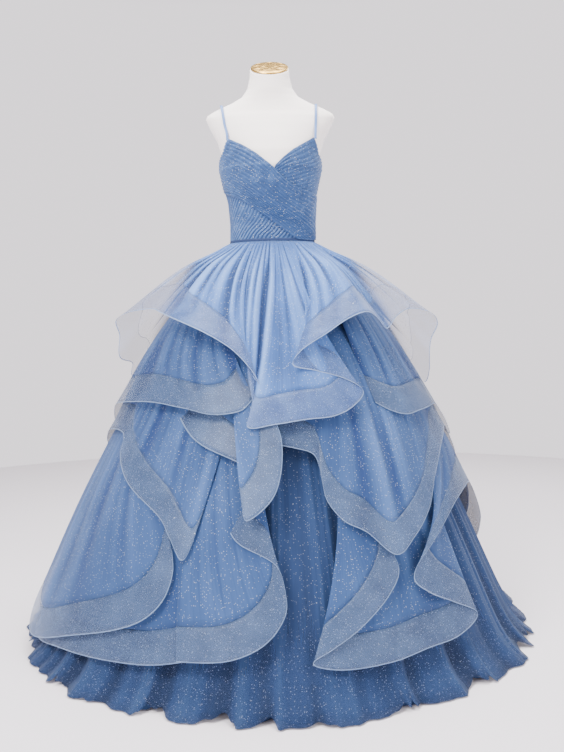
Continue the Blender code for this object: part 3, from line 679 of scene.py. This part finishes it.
# Tulle pleated over satin: a little smoother, with painted shade in the pleat hollows and painted highlight
# on the pleat ridges as fine lines along the pleats
bodice_look = cloth_material("ruched glitter tulle over satin", "162A52", "335180", "6A8ABA",
                             0.6, 0.2, (60.0, 20.0))
# Open nylon braid: pale, hazy and springy, with a firm edge thread, painted shade in its folds and painted
# highlight on its ridges
braid = braid_material("horsehair braid in pale blue", "34508A", "5C7AB2", "94ACD4")
# Same braid as the top flounce, darker as painted shade on the lower flounces
braid_low_shaded = braid_material("horsehair braid, lower flounces, darker for painted shade", "34496F", "4E678F", "7E97BC")
# Ribbed tape and covered strap: dull tape, strap with a soft shine
tape_look = plain_material("dark blue waist tape", "22355F", 0.8)
strap_look = plain_material("dusty blue strap satin", "5F7FB8", 0.5)
# Jersey over foam: matt and warm white
form_look = plain_material("off white jersey cover", "FFF7F2", 0.85, 0.0, 0.2)
# Brushed brass-coloured cap and painted steel: soft metal shine, dark satin
gold_look = plain_material("brushed gold cap", "CBA35A", 0.32, 1.0)
steel_look = plain_material("black stand steel", "2B2C2F", 0.4, 0.9)
# Matt background paper
paper_look = plain_material("pale studio paper", "F4ECF2", 0.9)

# Gathers: how many round the dress, size, share where they grow, share where they fade
TOP_WAVES = ((31, 0.0200, (0.0, 0.40), (0.45, 1.00)), (74, 0.0065, (0.0, 0.05), (0.15, 0.70)))
LOW_WAVES = ((33, 0.0050, (0.15, 0.50), (0.55, 1.00)), (83, 0.0020, (0.05, 0.30), (0.50, 0.95)))

# Main creases: gathered turn, half width, size with troughs below zero, shares where they start and end
TOP_CREASES = (
    (-3.0, 3.2, -0.020, 0.03, 0.95),
    (4.0, 2.6, -0.022, 0.03, 0.90),
    (10.0, 3.4, 0.012, 0.05, 1.05),
    (-12.0, 4.2, 0.014, 0.05, 1.05),
    (-22.0, 2.4, -0.016, 0.02, 0.80),
    (24.0, 2.6, -0.016, 0.02, 0.80),
    (-40.0, 5.0, 0.012, 0.05, 0.90),
    (38.0, 4.4, 0.014, 0.05, 0.95),
    (58.0, 3.0, -0.014, 0.03, 0.80),
    (-62.0, 3.2, -0.014, 0.03, 0.80),
    (96.0, 4.0, -0.014, 0.03, 0.80),
    (-108.0, 4.4, -0.015, 0.03, 0.85),
    (128.0, 4.6, 0.012, 0.05, 0.95),
    (150.0, 3.6, -0.018, 0.03, 0.90),
    (-142.0, 4.0, 0.013, 0.05, 0.95),
    (-168.0, 3.8, -0.018, 0.03, 0.90),
)
LOW_CREASES = (
    (-86.0, 3.0, -0.006, 0.35, 1.00),
    (-64.0, 2.6, -0.006, 0.40, 1.00),
    (-40.0, 2.2, -0.005, 0.35, 0.95),
    (36.0, 2.4, -0.006, 0.35, 1.00),
    (70.0, 3.0, -0.006, 0.40, 1.00),
    (112.0, 3.2, -0.008, 0.35, 1.00),
    (150.0, 3.0, -0.008, 0.35, 1.00),
    (-130.0, 3.2, -0.008, 0.35, 1.00),
    (-165.0, 3.0, -0.008, 0.35, 1.00),
)

FLOUNCES = (
    # name, table, sewn drop, stand off, sweep, closed, gathers, creases, seed
    ("top", FLOUNCE_1, 0.001, 0.07, 1.7, True, TOP_WAVES, TOP_CREASES, 1.3),
    ("second", FLOUNCE_2, 0.110, 0.08, 1.8, False, LOW_WAVES, LOW_CREASES, 2.4),
    ("third", FLOUNCE_3, 0.230, 0.10, 1.8, False, LOW_WAVES, LOW_CREASES, 4.1),
    ("lowest", FLOUNCE_4, 0.390, 0.18, 1.7, False, LOW_WAVES, LOW_CREASES, 5.2),
    ("leaf", CASCADE_LEAF, 0.370, 0.18, 1.7, False, LOW_WAVES, LOW_CREASES, 0.7),
)
FLOUNCE_CLOTH = {
    # columns per fold, tulle, braid, see-through share at the front, at the sides and added at the hem
    "top": (24, tulle, braid, 0.12, 0.86, 0.06),
    "second": (16, tulle_low_shaded, braid_low_shaded, 0.12, 0.80, 0.06),
    "third": (16, tulle_low_shaded, braid_low_shaded, 0.12, 0.70, 0.06),
    "lowest": (16, tulle_low_shaded, braid_low_shaded, 0.12, 0.55, 0.06),
    "leaf": (16, tulle_low_shaded, braid_low_shaded, 0.16, 0.40, 0.06),
}
PANEL_ROWS, BAND_ROWS = 34, 8


def build_flounces():
    """Each flounce's gathered panel and the braid band along its hem."""
    for name, table, start, stand, late, closed, waves, creases, seed in FLOUNCES:
        fine, look, edge, front, sides, hem = FLOUNCE_CLOTH[name]
        count = len(table) * fine
        rest = (table, start, stand, late, closed, waves, creases, seed)
        panel = cloth("panel_" + name, count, PANEL_ROWS, flounce_shape("panel", *rest), closed, look,
                      sheer_by_place(front, sides, hem), 3.0, 0.35, deep=0.005, reach=9)
        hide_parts("flounce_" + name)
        band = cloth("band_" + name, count, BAND_ROWS, flounce_shape("band", *rest), closed, edge,
                     sheer_by_place(front + 0.32, sides - 0.04, 0.0), 4.0, BRAID_WIDTH, deep=0.006, reach=9)
        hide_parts("braid_" + name)


def base_shape(deeper, seed, lean, ragged, folds):
    """Placing function of one layer of the base skirt, with leaning folds and a ragged hem."""
    def shape(u, v):
        turn = 360.0 * np.where(u >= 1.0, 0.0, u)
        a = np.radians(turn)
        uneven = (1.1 * np.sin(5 * a + seed) + 0.8 * np.sin(9 * a + 1.3 * seed)
                  + 0.5 * np.sin(16 * a + 0.4 * seed))
        wave = (0.70 * np.sin(folds * a + uneven)
                + 0.30 * np.sin(round(1.7 * folds) * a - 1.5 * uneven + seed))
        worn = smooth(0.15 + 0.9 * np.sin(round(0.6 * folds) * a + 2 * uneven))
        nick = ragged * worn * (0.7 + 0.3 * np.sin(131 * a))
        height = SKIRT_TOP + (HEM_H + nick - SKIRT_TOP) * v
        share = (SKIRT_TOP - height) / (SKIRT_TOP - HEM_H)
        lobes = ridges(wave) - 0.65
        fine = 0.0022 * smooth(v * 3) * ripple(turn, seed, 97)
        slow = BASE_SWAY * share * np.sin(7 * a + math.radians(40))
        spread = BASE_FLARE * np.exp(-height / BASE_FLARE_FADE)
        radius = (bell(height) + BASE_WAVE * (0.10 + 0.90 * share) * lobes + slow + spread + fine
                  - BASE_INSET[0] - BASE_INSET[1] * share - deeper * share)
        angle = turn + lean * share * np.sin(folds * a + uneven + 1.2)
        return on_skirt(angle, radius, height)
    return shape


BASE_LAYERS = (
    # name, columns, rows, how much deeper, seed, lean, ragged, folds, look, fold depth, columns blurred, cut
    ("skirt_base", 960, 44, 0.0, 0.9, 0.9, 0.016, 34, tulle_base_shaded, 0.020, 14, (6.6, 3.7)),
    ("skirt_middle", 720, 24, 0.030, 3.7, 0.8, 0.008, 41, tulle_base_shaded, 0.020, 10, (5.6, 3.5)),
    ("skirt_under", 480, 16, 0.056, 5.1, 0.5, 0.0, 30, tulle_under_shaded, 0.012, 8, (4.4, 3.2)),
)
BASE_SHEER = {
    "skirt_base": lambda u, v, spots: 0.10 + 0.16 * v ** 6,
    "skirt_middle": lambda u, v, spots: 0.08 + 0.0 * v,
    "skirt_under": None,
}


def build_base():
    """Outer base skirt with the layers that show at its ragged hem."""
    for name, across, down, deeper, seed, lean, ragged, folds, look, deep, reach, cut in BASE_LAYERS:
        layer = cloth(name, across, down, base_shape(deeper, seed, lean, ragged, folds), True, look,
                      BASE_SHEER[name], 6.0, 1.15, deep=deep, reach=reach)
        if name == "skirt_base":
            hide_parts("base_skirt")


def edge_at(points, share):
    """Points at shares along an edge given by a short list, evenly by its length."""
    rows = np.array(points, float)
    steps = np.hypot(np.diff(rows[:, 0]) * METRES_A_DEGREE, np.diff(rows[:, 1]))
    walked = np.concatenate([[0.0], np.cumsum(steps)]) / steps.sum()
    return np.stack([np.interp(share, walked, rows[:, 0]), np.interp(share, walked, rows[:, 1])], -1)


def panel_shape(edges, pleats, out, depth, turned):
    """Placing function of a ruched panel between four edges, its pleats along u, or along v if turned."""
    top, bottom, left, right = edges

    def shape(u, v):
        over_top, over_bottom = edge_at(top, u), edge_at(bottom, u)
        down_left, down_right = edge_at(left, v), edge_at(right, v)
        uu, vv = u[:, None], v[:, None]
        ends = [np.array([edge[k]], float)
                for edge, k in ((top, 0), (top, -1), (bottom, 0), (bottom, -1))]
        flat = ((1 - vv) * over_top + vv * over_bottom + (1 - uu) * down_left + uu * down_right
                - (1 - uu) * (1 - vv) * ends[0] - uu * (1 - vv) * ends[1]
                - (1 - uu) * vv * ends[2] - uu * vv * ends[3])
        along, over = (v, u) if turned else (u, v)
        phase = (over * pleats + 0.25 * np.sin(4.0 * along + 6.0 * over)
                 + 0.10 * np.sin(11.0 * along - 9.0 * over))
        saw = phase - np.floor(phase)
        ridge = np.sin(math.pi * saw ** 0.75)
        fade = smooth(over * pleats * 1.5) * smooth((1.0 - over) * pleats * 1.5)
        size = 0.75 + 0.25 * np.sin(7.0 * over + 5.0 * along)
        return on_torso(flat[:, 0], flat[:, 1], FORM_GAP + out + depth * ridge * fade * size)
    return shape


# Edges of the bodice panels in turn and height: top, bottom, left and right
WRAP = (
    ((-48, 1.368), (-32, 1.347), (-15, 1.318), (2.5, 1.2815), (11, 1.259), (24, 1.237), (41, 1.225),
     (62, 1.2183), (94, 1.210)),
    ((-96, 1.230), (-78, 1.222), (-64, 1.214), (-50, 1.206), (-34, 1.189), (-18, 1.166), (0, 1.139),
     (13, 1.1165), (26, 1.0985), (36, 1.0890)),
    ((-48, 1.368), (-62, 1.336), (-78, 1.317), (-96, 1.300), (-96, 1.230)),
    ((94, 1.210), (94, 1.150), (93, 1.108), (86, 1.0915), (60, 1.0890), (36, 1.0890)),
)
RIGHT = (
    ((5.5, 1.2865), (15, 1.3096), (27, 1.332), (39, 1.3511), (51, 1.3693)),
    ((-12, 1.190), (15, 1.185), (47, 1.188), (91.4, 1.203)),
    ((5.5, 1.2865), (-12, 1.190)),
    ((51, 1.3693), (70, 1.326), (91.4, 1.302), (91.4, 1.203)),
)
UNDER = (
    ((-90, 1.236), (-74, 1.228), (-58, 1.219), (-42, 1.205), (-27, 1.187), (-12, 1.166), (2, 1.144),
     (16, 1.122), (36, 1.098)),
    ((-96, 1.232), (-96, 1.105), (-92, 1.091), (-50, 1.0890), (34, 1.0890)),
    ((-90, 1.236), (-96, 1.232)),
    ((36, 1.098), (34, 1.0890)),
)
BACK_L = (
    ((-96.3, 1.300), (-116, 1.292), (-136, 1.287), (-156, 1.276), (-175, 1.268)),
    ((-96.3, 1.0890), (-175, 1.0890)),
    ((-96.3, 1.300), (-96.3, 1.0890)),
    ((-175, 1.268), (-175, 1.0890)),
)
BACK_R = (
    ((91.6, 1.302), (114, 1.292), (136, 1.287), (156, 1.276), (175, 1.268)),
    ((91.6, 1.0890), (175, 1.0890)),
    ((91.6, 1.302), (91.6, 1.0890)),
    ((175, 1.268), (175, 1.0890)),
)

PANELS = (
    # piece, edges, pleats, stand off, depth, steps along, pleats run along v, node
    ("cup_left_wrap", WRAP, 17, 0.0052, 0.0028, 110, False, "bodice_left_cup"),
    ("cup_right", RIGHT, 14, 0.0010, 0.0026, 70, False, "bodice_right_cup"),
    ("wrap_under", UNDER, 32, 0.0010, 0.0024, 40, True, "bodice_under_wrap"),
    ("back_left", BACK_L, 20, 0.0010, 0.0018, 50, False, "bodice_back_left"),
    ("back_right", BACK_R, 20, 0.0010, 0.0018, 50, False, "bodice_back_right"),
)


def tape_shape(u, v):
    """Placing function of the waist tape."""
    return on_torso(360.0 * np.where(u >= 1, 0.0, u), TAPE_TOP + (TAPE_LOW - TAPE_TOP) * v,
                    FORM_GAP + TAPE_OUT + 0.0006 * np.sin(math.pi * v))


def placket_shape(u, v):
    """Placing function of the placket over the centre back seam."""
    return on_torso(PLACKET_TURN + PLACKET_ARC * u, PLACKET_TOP + (PANEL_LOW - PLACKET_TOP) * v,
                    FORM_GAP + PLACKET_OUT + 0.0 * u)


def strap_shape(column, sign):
    """Placing function of the strap in one column of its table, its ends tucked into the bodice."""
    def shape(u, v):
        row = table_at(STRAP, v * (len(STRAP) - 1), False)
        x = sign * row[:, column] + STRAP_WIDTH * (u - 0.5)
        tuck = STRAP_TUCK * (smooth(1.0 - v / 0.04) + smooth((v - 0.96) / 0.04))
        return np.stack([x, row[:, 2], row[:, 3] - tuck + 0.0006 * np.sin(math.pi * u)], -1)
    return shape


def build_bodice():
    """Ruched wrap bodice, tape, placket and straps."""
    for name, edges, pleats, out, depth, along, turned, node in PANELS:
        across, down = (pleats * 8, along) if turned else (along, pleats * 8)
        # Pleat hollows get painted shade and pleat ridges painted highlight from how far each point stands
        # out
        item = cloth(name, across, down, panel_shape(edges, pleats, out, depth, turned), False, bodice_look,
                     None, 0.34, 0.20, deep=0.002, reach=3)
        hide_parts(node)

    tape = cloth("tape_waist", 160, 4, tape_shape, True, tape_look, thick=0.0012)
    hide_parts("waist_tape")

    placket = cloth("placket", 12, 40, placket_shape, False, tape_look, thick=0.0010)
    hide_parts("back_placket")

    for node, column, sign in (("strap_left", 0, -1.0), ("strap_right", 1, 1.0)):
        item = cloth("tulle_" + node, 6, 120, strap_shape(column, sign), False, strap_look, thick=0.0014)
        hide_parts(node)


def lathe_piece(name, across, down, shape, look, node):
    """Solid of rings closed at both ends."""
    work = bmesh.new()
    bmesh.ops.create_grid(work, x_segments=across, y_segments=down, size=0.5)
    flat = np.array([v.co[:2] for v in work.verts]) + 0.5
    spots = shape(np.clip(flat[:, 0], 0, 1), np.clip(flat[:, 1], 0, 1))
    for i, vert in enumerate(work.verts):
        vert.co = spots[i]
    bmesh.ops.remove_doubles(work, verts=work.verts, dist=SAME_SPOT)
    bmesh.ops.holes_fill(work, edges=work.edges, sides=0)
    bmesh.ops.recalc_face_normals(work, faces=work.faces)
    for face in work.faces:
        face.smooth = len(face.verts) <= 4
    item = as_object(name, work, look)
    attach(item, "root")
    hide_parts(node)


CAP_PROFILE = (
    # rise, radius
    (0.0, 0.0515),
    (0.0008, 0.0530),
    (0.0022, 0.0535),
    (0.0048, 0.0533),
    (0.0064, 0.0518),
    (0.0070, 0.0495),
    (0.0066, 0.0470),
    (0.0072, 0.0420),
    (0.0080, 0.0330),
    (0.0084, 0.0220),
    (0.0086, 0.0100),
)


def build_form():
    """Torso, neck cap and the stand's looks."""
    low, high = TORSO[0][0], TORSO[-1][0]

    def torso(u, v):
        turn = 360.0 * np.where(u >= 1, 0.0, u)
        height = low + (high - low) * v
        return slanted(on_torso(turn, height, 0.0 * u), height)
    lathe_piece("form_body", 96, 140, torso, form_look, "form_torso")

    rises, radii = np.array(CAP_PROFILE).T
    steps = np.linspace(0, 1, len(CAP_PROFILE))

    def cap(u, v):
        a = 2 * math.pi * np.where(u >= 1, 0.0, u)
        radius = np.interp(v, steps, radii)
        petals = np.cos(8 * a) * np.sin(math.pi * np.clip(radius / 0.052, 0, 1) * 2.0)
        relief = CAP_RELIEF * petals * smooth((v - 0.45) / 0.1) * smooth((1.0 - v) / 0.1)
        rise = NECK_TOP + CAP_LIFT + np.interp(v, steps, rises) + relief
        points = np.stack([radius * np.sin(a), -CAP_OVAL * radius * np.cos(a), rise], -1)
        return slanted(points, NECK_TOP + 0.0 * u)
    lathe_piece("cap_gold", 96, 40, cap, gold_look, "neck_cap")
    for node in ("stand_pole", "stand_base"):
        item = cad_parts[node]
        item.data.materials.clear()
        item.data.materials.append(steel_look)


def aim_light(item, place, aim):
    """Light set at a place and turned towards an aim."""
    item.location = place
    way = np.array(aim, float) - np.array(place, float)
    yaw = math.atan2(way[1], way[0]) - math.pi / 2
    tilt = math.atan2(math.hypot(way[0], way[1]), -way[2])
    item.rotation_euler = (tilt, 0.0, yaw)


def build_world():
    """Soft room, bright round the horizon and dim above."""
    world = bpy.data.worlds.new("soft room")
    world.use_nodes = True
    tree = world.node_tree
    sky = tree.nodes["Background"]
    sky.inputs["Color"].default_value = srgb("F7F0F6")
    toward = add(tree, "ShaderNodeTexCoord")
    rise = add(tree, "ShaderNodeSeparateXYZ", None, {"Vector": toward.outputs["Generated"]})
    fall = add(tree, "ShaderNodeMapRange",
               {"From Min": 0.34, "From Max": 0.52, "To Min": 1.75, "To Max": 0.18},
               {"Value": rise.outputs["Z"]})
    tree.links.new(fall.outputs["Result"], sky.inputs["Strength"])
    bpy.context.scene.world = world


def build_stage():
    """Pale floor, soft lights, the room and the camera."""
    work = bmesh.new()
    bmesh.ops.create_circle(work, cap_ends=True, segments=96, radius=FLOOR_RADIUS)
    bmesh.ops.recalc_face_normals(work, faces=work.faces)
    as_object("floor", work, paper_look)

    for name, place, size, power, aim in LIGHTS:
        light = bpy.data.lights.new(name, "AREA")
        light.size = size
        light.energy = power
        item = bpy.data.objects.new(name, light)
        bpy.context.scene.collection.objects.link(item)
        aim_light(item, place, aim)
    build_world()

    lens = bpy.data.cameras.new("camera")
    lens.sensor_width = SENSOR
    lens.lens = FOCAL_SHARE * SENSOR
    camera = bpy.data.objects.new("camera", lens)
    bpy.context.scene.collection.objects.link(camera)
    camera.location = CAMERA_AT
    tilt = Matrix.Rotation(math.radians(90.0 - CAMERA_DOWN), 4, "X")
    camera.rotation_euler = (tilt @ Matrix.Rotation(CAMERA_ROLL, 4, "Z")).to_euler()
    bpy.context.scene.camera = camera


build_form()
build_base()
build_flounces()
build_bodice()
build_stage()
